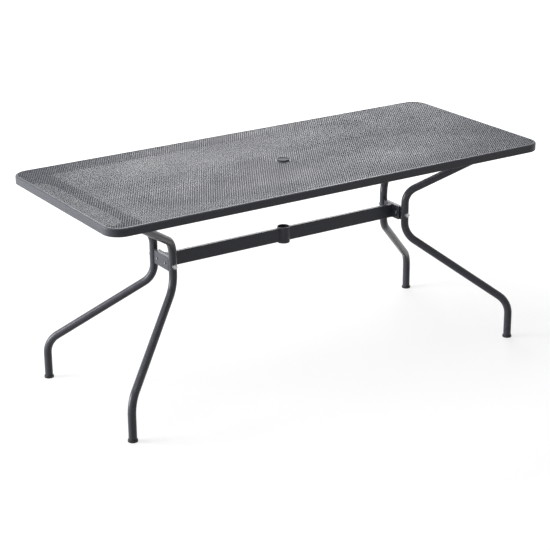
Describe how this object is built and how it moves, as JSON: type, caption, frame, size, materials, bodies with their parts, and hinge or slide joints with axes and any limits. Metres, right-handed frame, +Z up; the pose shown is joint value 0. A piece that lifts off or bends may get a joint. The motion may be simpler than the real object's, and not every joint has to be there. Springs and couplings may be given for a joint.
{
  "type": "umbrella table",
  "caption": "Long patio dining table with an expanded-metal top, a plugged parasol hole, a pole sleeve below it, and bent tube legs joined by a stretcher.",
  "frame": {"origin": "on the floor under the middle of the tabletop, on the axis of the parasol hole", "axes": "+X along the table's length, +Y across it, +Z up"},
  "size_m": [1.72, 0.73, 0.745],
  "materials": {
    "powder_coat": "satin textured powder coat, charcoal grey",
    "powder_coat_mesh": "satin powder coat, charcoal grey, a little duller than on the tubes",
    "cap_plastic": "matt moulded plastic, dark grey",
    "foot_plastic": "matt moulded plastic, black",
    "zinc": "zinc plated steel"
  },
  "bodies": {
    "table": {"tabletop_rim": "powder_coat", "tabletop_mesh": "powder_coat_mesh", "parasol_ring": "powder_coat_mesh", "leg_front_left": "powder_coat", "leg_front_right": "powder_coat", "leg_rear_left": "powder_coat", "leg_rear_right": "powder_coat", "foot_cap_front_left": "foot_plastic", "foot_cap_front_right": "foot_plastic", "foot_cap_rear_left": "foot_plastic", "foot_cap_rear_right": "foot_plastic", "corner_spigot_front_left": "powder_coat", "corner_spigot_front_right": "powder_coat", "corner_spigot_rear_left": "powder_coat", "corner_spigot_rear_right": "powder_coat", "waist_saddle_front_left": "powder_coat", "waist_saddle_front_right": "powder_coat", "waist_saddle_rear_left": "powder_coat", "waist_saddle_rear_right": "powder_coat", "cross_member_left": "powder_coat", "cross_member_right": "powder_coat", "stretcher_flange_left": "powder_coat", "stretcher_flange_right": "powder_coat", "stretcher_left": "powder_coat", "stretcher_right": "powder_coat", "pole_sleeve": "powder_coat", "waist_plugs": "zinc", "leg_bolts": "zinc", "saddle_washers": "zinc", "corner_screws": "zinc", "flange_bolts": "zinc", "weld_nuts": "zinc", "flange_washers": "zinc"},
    "cap": {"parasol_cap": "cap_plastic"}
  },
  "joints": [
    {"name": "cap_lift", "type": "slide", "parent": "table", "child": "cap", "axis": [0, 0, 1], "range_m": [0, 0.1]}
  ]
}
